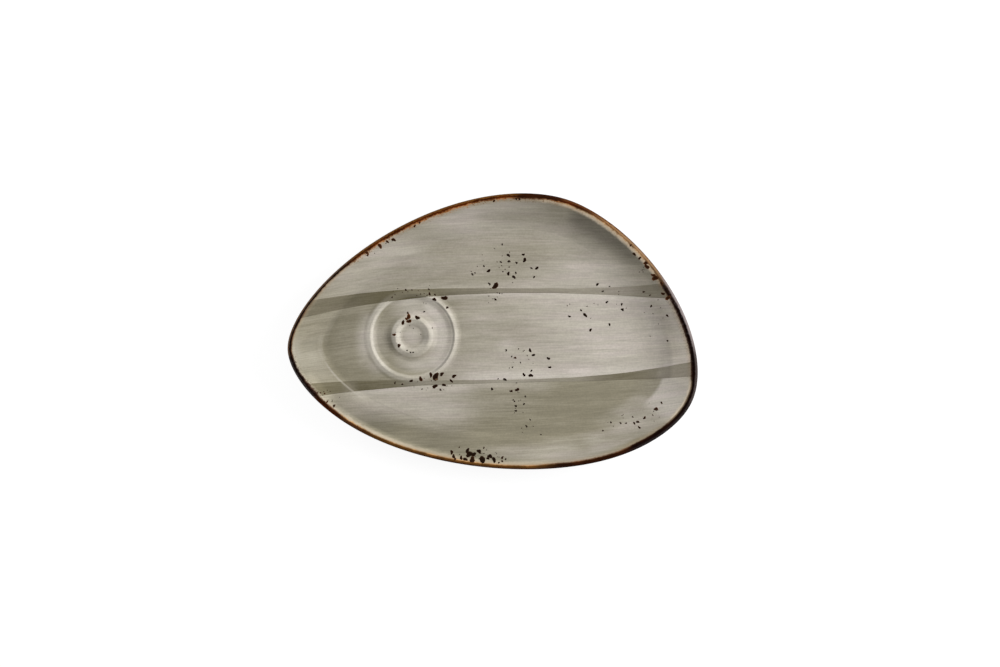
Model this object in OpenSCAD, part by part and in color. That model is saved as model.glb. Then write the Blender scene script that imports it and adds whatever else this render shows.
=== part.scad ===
// Pebble-shaped glazed stoneware plate with a cup well at its narrow end.
// The origin is on the table, under the middle of the outline. +X runs along the length
// towards the broad end, +Y across the width and +Z up. Sizes are in millimetres.

/* [Outline] */
// Overall length of the finished plate, along X
plate_length = 300; // [250:1:380]
// Overall width of the finished plate, along Y
plate_width = 202; // [168:1:260]
// Overall height, from the table to the top of the lip
plate_height = 24; // [18:0.5:34]

/* [Wall, lip and floor] */
// Width of the rising wall, from the plate's edge to the flat floor
wall_width = 26; // [20:0.5:34]
// Lean of the wall where it leaves the floor, up from level, in degrees
floor_lean = 14; // [0:1:24]
// Lean of the wall where it eases into the lip, up from level, in degrees
wall_lean = 16; // [8:1:40]
// Lean of the flank under the lip, up from level, in degrees
flank_lean = 44; // [30:1:60]
// Thickness of the rounded lip
lip_thickness = 4.6; // [3:0.1:7]
// Thickness of the floor, glazes included
floor_thickness = 5.6; // [4:0.1:9]

/* [Foot ring] */
// Distance from the plate's edge in to the foot ring
foot_inset = 31; // [26:0.5:42]
// Width of the foot ring
foot_width = 5; // [3:0.1:9]
// Height of the recess under the base, inside the foot ring
foot_height = 2.4; // [1.5:0.1:5]
// Rounding of the foot ring's two lower edges
foot_rounding = 1.2; // [0.4:0.1:1.4]

/* [Cup well] */
// Distance from the narrow end of the plate to the middle of the well
cup_from_end = 90.8; // [80:0.1:130]
// Distance of the well's middle from the plate's long axis, along Y
cup_across = -3.4; // [-10:0.1:10]
// Radius of the well's outer bead, at its crest
outer_bead_radius = 31; // [26:0.5:38]
// Radius of the well's inner bead, at its crest
inner_bead_radius = 12.4; // [9:0.1:16]
// Width of each bead, at floor level
bead_width = 10; // [6:0.1:10]
// Height of each bead above the floor
bead_height = 1.4; // [0.6:0.1:2]
// Depth of the cup's seat below the floor, between the two beads
seat_depth = 0.6; // [0.3:0.1:1.2]

/* [Glazes] */
// Thickness of the fired glaze on the face, lip, flank and base
glaze_thickness = 0.5; // [0.3:0.05:0.8]
// Extra thickness where two brushed coats lie over each other
band_thickness = 0.15; // [0.1:0.05:0.3]
// Height of an iron fleck above the face glaze
fleck_height = 0.25; // [0.15:0.05:0.4]
// Radius of the largest fleck in a cluster
fleck_radius = 1.3; // [0.8:0.1:2]

/* [Hidden] */

// The outline is a round that swells towards soft corners: how many corners, how much it swells as a
// share of its radius, and the direction of the first corner. The three corners make the pebble, and
// the others ease its sides and its narrow end.
SWELLS = [
    [2, 0.014, -45],
    [3, 0.064, -43],
    [4, 0.014, -11],
    [5, 0.003, 51],
    [6, 0.005, -7]
];
outline_steps = 96;  // points round the outline, a multiple of 4 so that the four extremes are hit
curve_steps = 8;     // points along a curved wall
lip_steps = 2;       // points along the lip from the wall to its top, and again from its side to the flank
edge_steps = 3;      // points round an edge of the foot ring
band_steps = 24;     // points along an edge of a brush band
shoulder_rise = 0.4; // how much higher the clay's underside lies outside the foot ring than inside it
floor_pull = 0.42;   // how far the wall's curve follows its lean at the floor, as a share of the wall's run
wall_pull = 0.12;    // how far the wall's curve follows its lean at the lip
lip_pull = 0.34;     // how far the flank's curve follows its lean under the lip
foot_pull = 0.42;    // how far the flank's curve follows the level at the foot ring
$fn = 96;

floor_level = foot_height + floor_thickness;   // finished floor
clay_floor = floor_level - glaze_thickness;
clay_base = foot_height + glaze_thickness;     // clay's underside, inside the foot ring
shoulder = clay_base + shoulder_rise;          // clay's underside, outside the foot ring
lip_centre = [lip_thickness / 2, plate_height - lip_thickness / 2];
clay_lip_radius = lip_thickness / 2 - glaze_thickness;
cup_place = [cup_from_end - plate_length / 2, cup_across, clay_floor];
bead_arc = (pow(bead_width / 2, 2) + pow(bead_height, 2)) / (2 * bead_height);
bead_root = 1.5;                               // depth to which a bead is rooted in the floor
well_margin = 1;                               // flat floor round the outer bead, within a coat's round patch
well_edge = outer_bead_radius + bead_width / 2 + well_margin;
well_lap = 0.5;                                // lap of a coat's round patch over the coat round it
over = 1;                                      // overshoot of a cutting tool

// Brush bands: the two edges of each are curves with four control points, evenly spread along the
// length. Their places across the width are shares of half the width.
UPPER_BAND = [[0.185, 0.43, 0.22, 0.38], [0.07, 0.345, 0.295, 0.225]];
LOWER_BAND = [[-0.395, -0.295, -0.445, -0.21], [-0.51, -0.32, -0.405, -0.325]];

// Clusters of flecks: the middle as shares of half the length and half the width, the reach along
// X and along Y, and how many flecks
FLECK_CLUSTERS = [
    [[0.07, 0.48], [22, 14], 11],
    [[0.02, 0.34], [5, 4], 3],
    [[-0.31, 0.28], [15, 8], 6],
    [[-0.40, 0.06], [8, 9], 5],
    [[-0.28, -0.36], [16, 7], 8],
    [[0.14, -0.35], [22, 22], 14],
    [[0.51, 0.18], [22, 17], 8],
    [[0.81, 0.12], [8, 18], 5],
    [[-0.07, -0.90], [19, 5], 9],
    [[0.66, -0.64], [24, 10], 9],
    [[0.18, -0.70], [7, 6], 4],
    [[0.71, 0.49], [6, 6], 5],
    [[-0.53, 0.57], [4, 3], 4],
    [[-0.76, -0.50], [3, 3], 3]
];
golden_angle = 137.508;   // turn between one fleck of a cluster and the next
fleck_taper = 0.72;       // share of its size that a fleck loses from the middle of a cluster to its edge

// Outline of the plate

function sum(list) = list * [for (i = list) 1];
function swell(a) = 1 + sum([for (s = SWELLS) s[1] * cos(s[0] * (a - s[2]))]);
function swell_rate(a) = sum([for (s = SWELLS) -s[0] * s[1] * sin(s[0] * (a - s[2]))]);

// Point of the swelled round, where its edge faces direction a
function swelled(a) = swell(a) * [cos(a), sin(a)] + swell_rate(a) * [-sin(a), cos(a)];

// The same point, with the outline fitted into a square from -1 to 1
function unit_point(a) = let (p = swelled(a)) [
    (2 * p.x - swell(0) + swell(180)) / (swell(0) + swell(180)),
    (2 * p.y - swell(90) + swell(270)) / (swell(90) + swell(270))
];

UNIT_OUTLINE = [for (i = [0 : outline_steps - 1]) unit_point(i * 360 / outline_steps)];

function outline(inset) = [
    for (u = UNIT_OUTLINE) [u.x * (plate_length / 2 - inset), u.y * (plate_width / 2 - inset)]
];

// Cross-section of the plate, as points [inset from the edge, height]

function bezier(a, b, c, d, t) =
    pow(1 - t, 3) * a + 3 * t * pow(1 - t, 2) * b + 3 * t * t * (1 - t) * c + pow(t, 3) * d;
function bezier_path(a, b, c, d) = [
    for (i = [0 : curve_steps]) bezier(a, b, c, d, i / curve_steps)
];
function reversed(list) = [for (i = [len(list) - 1 : -1 : 0]) list[i]];
function tail(list) = [for (i = [1 : len(list) - 1]) list[i]];

// Point of the lip that faces lean degrees from upright, towards the middle, under a coat
function lip_point(lean, coat) = lip_centre + (clay_lip_radius + coat) * [sin(lean), cos(lean)];

lip_end_lean = flank_lean - 180;

// The wall's upper face, from the floor up to the lip
function wall_path(coat) =
    let (
        foot_end = [wall_width, clay_floor + coat],
        lip_end = lip_point(wall_lean, coat),
        run = foot_end.x - lip_end.x
    )
    bezier_path(
        foot_end,
        foot_end + floor_pull * run * [-cos(floor_lean), sin(floor_lean)],
        lip_end + wall_pull * run * [cos(wall_lean), -sin(wall_lean)],
        lip_end
    );

// Leans of the lip's points: from the wall to the top, out to the side, then under to the flank
LIP_LEANS = [
    for (i = [0 : lip_steps - 1]) wall_lean * (1 - i / lip_steps),
    for (i = [0 : 2 * lip_steps - 1]) -90 * i / (2 * lip_steps),
    for (i = [0 : lip_steps]) -90 + (lip_end_lean + 90) * i / lip_steps
];

// The rounded lip, from the wall over to the flank
function lip_path(coat) = [for (lean = LIP_LEANS) lip_point(lean, coat)];

// The wall's outer face, from the lip down to the foot ring
function flank_path(coat) =
    let (
        lip_end = lip_point(lip_end_lean, coat),
        foot_end = [foot_inset, shoulder - coat],
        run = foot_end.x - lip_end.x
    )
    bezier_path(
        lip_end,
        lip_end + lip_pull * run * [cos(flank_lean), -sin(flank_lean)],
        foot_end - [foot_pull * run, 0],
        foot_end
    );

// The foot ring, from its outer wall round to its inner one
foot_path = [
    for (i = [0 : edge_steps])
        let (a = 90 * i / edge_steps)
        [foot_inset, 0] + foot_rounding * [1 - cos(a), 1 - sin(a)],
    for (i = [0 : edge_steps])
        let (a = 90 * i / edge_steps)
        [foot_inset + foot_width, 0] + foot_rounding * [sin(a) - 1, 1 - cos(a)],
    [foot_inset + foot_width, clay_base]
];

// Sweeps a cross-section round the outline. An open one is closed by a flat face at each end. Each
// four-sided patch is split from its higher ring, so that two coats split the face they share alike.
module swept(path, closed = false) {
    rings = len(path);
    points = [for (p = path) each [for (q = outline(p[0])) [q.x, q.y, p[1]]]];
    sides = [
        for (i = [0 : rings - (closed ? 1 : 2)], j = [0 : outline_steps - 1])
            let (
                next = (i + 1) % rings,
                a = i * outline_steps,
                b = next * outline_steps,
                k = (j + 1) % outline_steps
            )
            each path[i][1] > path[next][1]
                ? [[a + j, a + k, b + k], [a + j, b + k, b + j]]
                : [[a + j, a + k, b + j], [a + k, b + k, b + j]]
    ];
    ends = closed ? [] : [
        [for (j = [outline_steps - 1 : -1 : 0]) j],
        [for (j = [0 : outline_steps - 1]) (rings - 1) * outline_steps + j]
    ];
    polyhedron(points = points, faces = concat(sides, ends));
}

// Half section of a bead under a coat, rooted in the floor
module bead_section(radius, coat) {
    intersection() {
        translate([radius, bead_height - bead_arc]) circle(r = bead_arc + coat);
        translate([0, -bead_root]) square([well_edge, bead_root + bead_height + 2 * over]);
    }
}

// Half section of the cup's seat: it ends under the crests of the two beads
module seat_section(coat) {
    translate([inner_bead_radius, coat - seat_depth])
        square([outer_bead_radius - inner_bead_radius, seat_depth + over]);
}

// Half section of the cup well under a coat, from the floor's level down
module well_section(coat) {
    difference() {
        translate([0, -bead_root]) square([well_edge, bead_root + coat]);
        seat_section(coat);
    }
    for (radius = [inner_bead_radius, outer_bead_radius]) bead_section(radius, coat);
}

// A coat on the face, between two distances from the clay: the floor and wall, then the cup well
module face_coat(low, high) {
    difference() {
        swept(concat(wall_path(high), reversed(wall_path(low))));
        translate(cup_place) translate([0, 0, -over])
            cylinder(r = well_edge - well_lap, h = high + 2 * over);
    }
    translate(cup_place) rotate_extrude() difference() {
        well_section(high);
        well_section(low);
    }
}

// Points along an edge of a brush band, from end to end of the plate
function band_edge(shares) = [
    for (i = [0 : band_steps])
        let (t = i / band_steps)
        [
            (t - 0.5) * plate_length,
            bezier(shares[0], shares[1], shares[2], shares[3], t) * plate_width / 2
        ]
];

module band_footprint(edges) {
    linear_extrude(height = plate_height)
        polygon(concat(band_edge(edges[0]), reversed(band_edge(edges[1]))));
}

// The flecks of every cluster, seen from above, each standing through the height of the plate
module fleck_footprints() {
    for (cluster = FLECK_CLUSTERS)
        let (middle = cluster[0], reach = cluster[1], count = cluster[2])
        translate([middle.x * plate_length / 2, middle.y * plate_width / 2, 0])
            for (i = [0 : count - 1])
                let (out = sqrt((i + 0.5) / count), a = golden_angle * i)
                translate([reach.x * out * cos(a), reach.y * out * sin(a), 0])
                    cylinder(r = fleck_radius * (1 - fleck_taper * out), h = plate_height);
}

// A brush band, with the flecks that burn through it left open
module brush_band(edges) {
    difference() {
        intersection() {
            face_coat(glaze_thickness, glaze_thickness + band_thickness);
            band_footprint(edges);
        }
        fleck_footprints();
    }
}

// Pieces of the plate

// Pressed and fired clay: floor, wall, lip, foot ring and the beads of the cup well
module clay_body() {
    color("#d8cdbb") {
        difference() {
            swept(concat(wall_path(0), tail(lip_path(0)), tail(flank_path(0)), foot_path));
            translate(cup_place) rotate_extrude() seat_section(0);
        }
        translate(cup_place) rotate_extrude()
            for (radius = [inner_bead_radius, outer_bead_radius]) bead_section(radius, 0);
    }
}

// Pale grey glaze on the face, from wall to wall
module face_glaze() {
    color("#a9a598") face_coat(0, glaze_thickness);
}

// Iron-brown glaze over the lip
module rim_glaze() {
    color("#5a2a12") swept(concat(lip_path(glaze_thickness), reversed(lip_path(0))), closed = true);
}

// Dark brown glaze on the outer flank, from the lip down to the foot ring
module flank_glaze() {
    color("#33201c") swept(concat(flank_path(glaze_thickness), reversed(flank_path(0))), closed = true);
}

// Grey glaze under the base, inside the foot ring
module base_glaze() {
    color("#9b978a")
        translate([0, 0, foot_height]) linear_extrude(height = glaze_thickness)
            polygon(outline(foot_inset + foot_width));
}

// Doubled coat where the first brush stroke and the middle one overlap
module upper_brush_band() {
    color("#7d7869") brush_band(UPPER_BAND);
}

// Doubled coat where the middle brush stroke and the last one overlap
module lower_brush_band() {
    color("#7d7869") brush_band(LOWER_BAND);
}

// Iron-rich flecks that burn through the grey glaze, in clusters
module iron_flecks() {
    color("#2a1a12") intersection() {
        face_coat(glaze_thickness, glaze_thickness + fleck_height);
        fleck_footprints();
    }
}

clay_body();
face_glaze();
rim_glaze();
flank_glaze();
base_glaze();
upper_brush_band();
lower_brush_band();
iron_flecks();
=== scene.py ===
import math

import bpy
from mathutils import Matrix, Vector


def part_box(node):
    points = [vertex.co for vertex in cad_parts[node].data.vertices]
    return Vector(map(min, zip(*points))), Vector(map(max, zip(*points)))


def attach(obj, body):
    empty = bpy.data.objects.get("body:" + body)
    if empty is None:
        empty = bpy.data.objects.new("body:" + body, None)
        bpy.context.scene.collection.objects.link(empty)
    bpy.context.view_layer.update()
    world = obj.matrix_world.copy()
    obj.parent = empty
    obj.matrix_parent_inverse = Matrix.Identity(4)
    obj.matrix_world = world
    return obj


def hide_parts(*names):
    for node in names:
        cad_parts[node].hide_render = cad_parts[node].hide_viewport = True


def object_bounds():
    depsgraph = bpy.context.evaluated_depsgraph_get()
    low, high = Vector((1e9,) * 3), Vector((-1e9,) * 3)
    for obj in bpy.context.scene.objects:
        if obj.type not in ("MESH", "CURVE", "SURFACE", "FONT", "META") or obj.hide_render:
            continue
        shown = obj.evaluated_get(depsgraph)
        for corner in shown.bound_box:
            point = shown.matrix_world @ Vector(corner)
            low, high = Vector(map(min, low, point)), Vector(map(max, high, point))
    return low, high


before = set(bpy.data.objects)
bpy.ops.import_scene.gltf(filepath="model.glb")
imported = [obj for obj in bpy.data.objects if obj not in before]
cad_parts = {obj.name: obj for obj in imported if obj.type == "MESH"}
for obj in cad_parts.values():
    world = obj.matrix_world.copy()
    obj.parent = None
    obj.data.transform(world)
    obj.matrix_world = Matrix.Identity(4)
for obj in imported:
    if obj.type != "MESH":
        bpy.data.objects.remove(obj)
cad_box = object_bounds()

# Clay body
# Stoneware clay, pressed to the plate's whole form in one go: floor, wall, lip, foot ring and the
# two beads of the cup well. Fired, then glazed all over but for the foot ring, which is wiped bare.

MM = 0.001
length = cad_box[1].x - cad_box[0].x
width = cad_box[1].y - cad_box[0].y
height = cad_box[1].z - cad_box[0].z
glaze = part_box("base_glaze")[1].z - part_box("base_glaze")[0].z
base_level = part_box("base_glaze")[1].z
wall_width = 26 * MM
floor_lean = math.radians(14)
wall_lean = math.radians(16)
flank_lean = math.radians(44)
lip_radius = 2.3 * MM
floor_level = 8.0 * MM
foot_inset = 31 * MM
foot_inner = foot_inset + 5 * MM
foot_rounding = 1.2 * MM
shoulder_rise = 0.4 * MM
# How far each end of the wall's two curves leads them, as a share of their run
floor_pull = 0.42
wall_pull = 0.12
lip_pull = 0.34
foot_pull = 0.42

well_middle = Vector((-59.2, -3.4)) * MM
well_reach = 40 * MM
# Beads of the well: radius of the crest, run of the inner and of the outer slope, rise, and how hollow the
# slopes are
BEADS = ((12.4 * MM, 5.4 * MM, 6.4 * MM, 1.9 * MM, 1.12), (31 * MM, 5.0 * MM, 5.0 * MM, 1.5 * MM, 1.3))
seat_drop = 0.6 * MM
seat_slope = 5 * MM
ridge_round = 0.08

# Swells of the outline: number of soft corners, share of the radius, direction of the first corner
SWELLS = ((2, 0.014, -45), (3, 0.064, -43), (4, 0.014, -11), (5, 0.003, 51), (6, 0.005, -7))
# Points to a ring of the outline
AROUND = 320
merge_distance = 0.002 * MM
sharp_angle = math.radians(50)


def curve_path(a, b, c, d, steps):
    """Points of a cubic curve from a to d, led by b and c."""
    shares = [i / steps for i in range(steps + 1)]
    return [(1 - t) ** 3 * a + 3 * t * (1 - t) ** 2 * b + 3 * t * t * (1 - t) * c + t ** 3 * d
            for t in shares]


def lip_point(lean, coat):
    """Point of the lip that leans away from upright, as (inset from the edge, height), under a coat."""
    middle = Vector((lip_radius, height - lip_radius))
    return middle + (lip_radius - glaze + coat) * Vector((math.sin(lean), math.cos(lean)))


def wall_path(coat, steps):
    """The wall's upper face, from the floor up to the lip."""
    start = Vector((wall_width, floor_level - glaze + coat))
    end = lip_point(wall_lean, coat)
    run = start.x - end.x
    rise = Vector((-math.cos(floor_lean), math.sin(floor_lean)))
    lead = Vector((math.cos(wall_lean), -math.sin(wall_lean)))
    return curve_path(start, start + floor_pull * run * rise, end + wall_pull * run * lead, end, steps)


def lip_path(coat, steps):
    """The rounded lip, from the wall over to the flank."""
    last = flank_lean - math.pi
    return [lip_point(wall_lean + (last - wall_lean) * i / steps, coat) for i in range(steps + 1)]


def flank_path(coat, steps):
    """The wall's outer face, from the lip down to the foot ring."""
    start = lip_point(flank_lean - math.pi, coat)
    end = Vector((foot_inset, base_level + shoulder_rise - coat))
    run = end.x - start.x
    lead = Vector((math.cos(flank_lean), -math.sin(flank_lean)))
    return curve_path(start, start + lip_pull * run * lead, end - Vector((foot_pull * run, 0)), end, steps)


def foot_path(steps):
    """The foot ring, from its outer wall round under it and up its inner wall."""
    turns = [math.pi / 2 * i / steps for i in range(steps + 1)]
    outer = Vector((foot_inset, 0))
    inner = Vector((foot_inner, 0))
    outer_edge = [outer + foot_rounding * Vector((1 - math.cos(a), 1 - math.sin(a))) for a in turns]
    inner_edge = [inner + foot_rounding * Vector((math.sin(a) - 1, 1 - math.cos(a))) for a in turns]
    return outer_edge + inner_edge + [Vector((inner.x, base_level))]


def well_relief(radius):
    """Height of the cup well over the floor at a distance from its middle: two beads, a sunk seat between."""
    relief = 0.0
    for crest, inner_run, outer_run, rise, hollow in BEADS:
        away = (crest - radius) / inner_run if radius < crest else (radius - crest) / outer_run
        away = (math.hypot(away, ridge_round) - ridge_round) / (math.hypot(1, ridge_round) - ridge_round)
        relief += rise * (1 - min(away, 1)) ** hollow
    sunk = min(max(min(radius - BEADS[0][0], BEADS[1][0] - radius) / seat_slope, 0), 1)
    return relief - seat_drop * sunk * sunk * (3 - 2 * sunk)


def floor_rows(coat, floor_steps, well_steps):
    """Rows across the floor, from the wall in to the well and on to its middle, as (inset, gather, height).
    Gather 0 is a ring of the outline, 1 the well's edge and 2 its middle."""
    level = floor_level - glaze + coat
    rows = [(wall_width, i / floor_steps, level) for i in range(1, floor_steps)]
    for i in range(well_steps + 1):
        share = i / well_steps
        rows.append((wall_width, 1 + share, level + well_relief(well_reach * (1 - share))))
    return rows


class Value:
    """A node's output. Maths with it is written plainly, and each operation adds a node to its tree."""

    def __init__(self, socket):
        self.socket = socket
        self.tree = socket.id_data

    def __add__(self, other):
        return calc("ADD", self, other)

    __radd__ = __add__

    def __sub__(self, other):
        return calc("SUBTRACT", self, other)

    def __rsub__(self, other):
        return calc("SUBTRACT", other, self)

    def __mul__(self, other):
        return calc("MULTIPLY", self, other)

    __rmul__ = __mul__

    def __truediv__(self, other):
        return calc("DIVIDE", self, other)


def feed(socket, value):
    """Gives a node's socket a value: a number, a colour or another node's output."""
    if isinstance(value, Value):
        socket.id_data.links.new(value.socket, socket)
    else:
        socket.default_value = value


def set_inputs(node, **inputs):
    """Feeds the inputs named, with spaces as underscores."""
    for name, value in inputs.items():
        feed(node.inputs[name.replace("_", " ")], value)


def add_node(tree, kind, settings=None, **inputs):
    """Adds a node with its settings and inputs."""
    node = tree.nodes.new(kind)
    for name, value in (settings or {}).items():
        setattr(node, name, value)
    set_inputs(node, **inputs)
    return node


def from_node(tree, kind, settings=None, output=0, **inputs):
    """Adds a node with its settings and inputs, and returns one of its outputs or, for a tuple, several."""
    node = add_node(tree, kind, settings, **inputs)
    if isinstance(output, tuple):
        return [Value(node.outputs[name]) for name in output]
    return Value(node.outputs[output])


def is_vector(value):
    """Whether a value has three parts."""
    return isinstance(value, tuple) or isinstance(value, Value) and value.socket.type in ("VECTOR", "RGBA")


def tree_of(values):
    """The tree of the first node's output among some values."""
    return next(value.tree for value in values if isinstance(value, Value))


def calc(operation, *values, output=0):
    """Adds a maths node, for vectors if one of the values is a vector, and returns its result."""
    kind = "ShaderNodeVectorMath" if any(map(is_vector, values)) else "ShaderNodeMath"
    node = add_node(tree_of(values), kind, {"operation": operation})
    for socket, value in zip(node.inputs, values):
        feed(socket, value)
    return Value(node.outputs[output])


def combine(x, y, z=0.0):
    """A vector of three values, of which one at least is a node's output."""
    return from_node(tree_of((x, y, z)), "ShaderNodeCombineXYZ", X=x, Y=y, Z=z)


def separate(vector):
    """The three values of a vector."""
    return from_node(vector.tree, "ShaderNodeSeparateXYZ", output=("X", "Y", "Z"), Vector=vector)


# Sockets of a mix node by the kind of what it mixes: first, second and result
MIX_SOCKETS = {"VECTOR": (4, 5, 1), "RGBA": (6, 7, 2)}


def mix(share, first, second, kind="RGBA"):
    """A mix of two colours or of two vectors."""
    node = add_node(share.tree, "ShaderNodeMix", {"data_type": kind}, Factor=share)
    *sockets, result = MIX_SOCKETS[kind]
    for socket, value in zip(sockets, (first, second)):
        feed(node.inputs[socket], value if isinstance(value, Value) else (*value, 1.0))
    return Value(node.outputs[result])


def new_tree(name, inputs, outputs=None):
    """Makes a shader tree with named sockets or, if no outputs are named, a geometry tree. Returns it with
    what it is given and its output sockets."""
    tree = bpy.data.node_groups.new(name, "ShaderNodeTree" if outputs else "GeometryNodeTree")
    for in_out, sockets in (("INPUT", inputs), ("OUTPUT", outputs or {"Geometry": "Geometry"})):
        for socket, socket_kind in sockets.items():
            tree.interface.new_socket(socket, in_out=in_out, socket_type="NodeSocket" + socket_kind)
    given = {socket.name: Value(socket) for socket in tree.nodes.new("NodeGroupInput").outputs}
    return tree, given, tree.nodes.new("NodeGroupOutput").inputs


def cosine(turn):
    """The cosine of a number or of a node's output."""
    return calc("COSINE", turn) if isinstance(turn, Value) else math.cos(turn)


def sine(turn):
    """The sine of a number or of a node's output."""
    return calc("SINE", turn) if isinstance(turn, Value) else math.sin(turn)


def swell(turn):
    """Reach of the outline towards a direction, and the rate at which it changes, round a circle of 1."""
    reach = 1.0
    rate = 0.0
    for corners, share, first in SWELLS:
        phase = turn * corners - corners * math.radians(first)
        reach += cosine(phase) * share
        rate -= sine(phase) * (corners * share)
    return reach, rate


def unit_outline(turn):
    """The outline's point whose edge faces a direction, on a plate that reaches from -1 to 1 both ways."""
    reach, rate = swell(turn)
    x = reach * cosine(turn) - rate * sine(turn)
    y = reach * sine(turn) + rate * cosine(turn)
    right, top, left, bottom = [swell(math.pi / 2 * quarter)[0] for quarter in range(4)]
    return (x * (2 / (right + left)) - (right - left) / (right + left),
            y * (2 / (top + bottom)) - (top - bottom) / (top + bottom))


def grid_place(tree, per_row):
    """Row and column of each point of a grid, from the number of points to a row."""
    index = from_node(tree, "GeometryNodeInputIndex")
    row = calc("FLOOR", (index + 0.5) / per_row)
    return row, index - row * per_row


def point_of(points, index):
    """The three coordinates of one point of a geometry."""
    return separate(from_node(
        points.tree, "GeometryNodeSampleIndex", {"data_type": "FLOAT_VECTOR"},
        Geometry=points, Value=from_node(points.tree, "GeometryNodeInputPosition"), Index=index))


def moved(geometry, **inputs):
    """A geometry whose points are moved to a position or by an offset."""
    return from_node(geometry.tree, "GeometryNodeSetPosition", Geometry=geometry, **inputs)


def store(geometry, kind, name, value):
    """A geometry that keeps a value on its points under a name."""
    return from_node(geometry.tree, "GeometryNodeStoreNamedAttribute", {"data_type": kind},
                     Geometry=geometry, Name=name, Value=value)


def merged(geometry):
    """A geometry whose points that lie on one another are joined."""
    return from_node(geometry.tree, "GeometryNodeMergeByDistance", Geometry=geometry, Distance=merge_distance)


def finish_tree(geometry, material, result):
    """Ends a geometry tree: smooth faces with sharp corners, plain mesh, material."""
    tree = geometry.tree
    smooth = from_node(tree, "GeometryNodeSetShadeSmooth", Geometry=geometry)
    angle = from_node(tree, "GeometryNodeInputMeshEdgeAngle", output="Unsigned Angle")
    cornered = from_node(tree, "GeometryNodeSetShadeSmooth", {"domain": "EDGE"}, Geometry=smooth,
                         Selection=calc("GREATER_THAN", angle, sharp_angle), Shade_Smooth=False)
    realized = from_node(tree, "GeometryNodeRealizeInstances", Geometry=cornered)
    feed(result[0], from_node(tree, "GeometryNodeSetMaterial", Geometry=realized, Material=material))


def make_sweep_tree():
    """Sweeps a cross-section round the pebble outline. Each of its points, (inset, gather, height), is a
    ring."""
    tree, given, result = new_tree("Pebble sweep", {
        "Cross-section": "Geometry", "Length": "Float", "Width": "Float", "Floor edge": "Float",
        "Well middle": "Vector", "Well reach": "Float", "Around": "Int", "Material": "Material"})
    section = given["Cross-section"]
    count = from_node(tree, "GeometryNodeAttributeDomainSize", output="Point Count", Geometry=section)
    columns = given["Around"] + 1
    grid = from_node(tree, "GeometryNodeMeshGrid", Vertices_X=count, Vertices_Y=columns)
    row, column = grid_place(tree, columns)
    turn = column / given["Around"] * math.tau
    inset, gather, level = point_of(section, row)
    unit_x, unit_y = unit_outline(turn)

    def outline(at_inset):
        half_length = given["Length"] * 0.5 - at_inset
        half_width = given["Width"] * 0.5 - at_inset
        return combine(unit_x * half_length, unit_y * half_width)

    heading = calc("NORMALIZE", outline(given["Floor edge"]) - given["Well middle"])
    radius = (2 - calc("MAXIMUM", gather, 1)) * given["Well reach"]
    well_point = given["Well middle"] + heading * radius
    place = mix(calc("MINIMUM", gather, 1), outline(inset), well_point, "VECTOR") + combine(0, 0, level)

    # The inset kept on the floor runs on from the wall's, by 100 mm for each step of gather
    rings = store(moved(grid, Position=place), "FLOAT", "inset", gather * 0.1 + inset)
    rings = store(rings, "FLOAT_VECTOR", "facing", combine(cosine(turn), sine(turn)))
    finish_tree(merged(rings), given["Material"], result)
    return tree


def new_object(name, data):
    """A new object in the scene."""
    thing = bpy.data.objects.new(name, data)
    bpy.context.scene.collection.objects.link(thing)
    return thing


def points_mesh(name, points):
    """A mesh of loose points."""
    mesh = bpy.data.meshes.new(name)
    mesh.from_pydata([tuple(point) for point in points], [], [])
    return mesh


def grown(name, tree, start_mesh, values):
    """A piece of the plain mesh that a geometry tree makes from a mesh and its inputs by name."""
    source = new_object(name + "_source", start_mesh)
    modifier = source.modifiers.new(name, "NODES")
    modifier.node_group = tree
    for item in tree.interface.items_tree:
        if item.in_out == "INPUT" and item.name in values:
            modifier[item.identifier] = values[item.name]
    depsgraph = bpy.context.evaluated_depsgraph_get()
    mesh = bpy.data.meshes.new_from_object(
        source.evaluated_get(depsgraph), preserve_all_data_layers=True, depsgraph=depsgraph)
    source.modifiers.remove(modifier)
    bpy.data.objects.remove(source)
    bpy.data.meshes.remove(start_mesh)
    mesh.name = name
    return new_object(name, mesh)


sweep_tree = make_sweep_tree()


def swept(name, rows, material):
    """A piece of the plate, swept round the pebble outline from the rows of its cross-section: points of a
    path, (inset, height), or rows with a gather between the two."""
    rows = [row if len(row) == 3 else (row[0], 0.0, row[1]) for row in rows]
    return grown(name, sweep_tree, points_mesh(name + "_rows", rows), {
        "Length": length, "Width": width, "Floor edge": wall_width, "Well middle": (*well_middle, 0.0),
        "Well reach": well_reach, "Around": AROUND, "Material": material})


def new_material(name):
    """Makes a material, and returns it with its node tree and its shader."""
    material = bpy.data.materials.new(name)
    material.use_nodes = True
    return material, material.node_tree, material.node_tree.nodes["Principled BSDF"]


def object_place(tree):
    """The place on the plate."""
    return from_node(tree, "ShaderNodeTexCoord", output="Object")


def noise(place, scale, detail=3.0, roughness=0.5):
    """A noise texture's value, about 0.5 in the middle."""
    return from_node(place.tree, "ShaderNodeTexNoise", Vector=place, Scale=scale, Detail=detail,
                     Roughness=roughness)


def ramp(value, *stops):
    """The colour of a ramp with stops of (position, colour)."""
    node = add_node(value.tree, "ShaderNodeValToRGB", Fac=value)
    elements = node.color_ramp.elements
    while len(elements) < len(stops):
        elements.new(1.0)
    for element, (position, colour) in zip(elements, stops):
        element.position = position
        element.color = (*colour, 1.0)
    return Value(node.outputs[0])


def dress(shader, relief, strength, depth, **looks):
    """Feeds a shader's inputs by name, and gives it a relief of some strength and depth in millimetres."""
    set_inputs(shader, **looks, Normal=from_node(
        shader.id_data, "ShaderNodeBump", Strength=strength, Distance=depth * MM, Height=relief))


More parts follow.
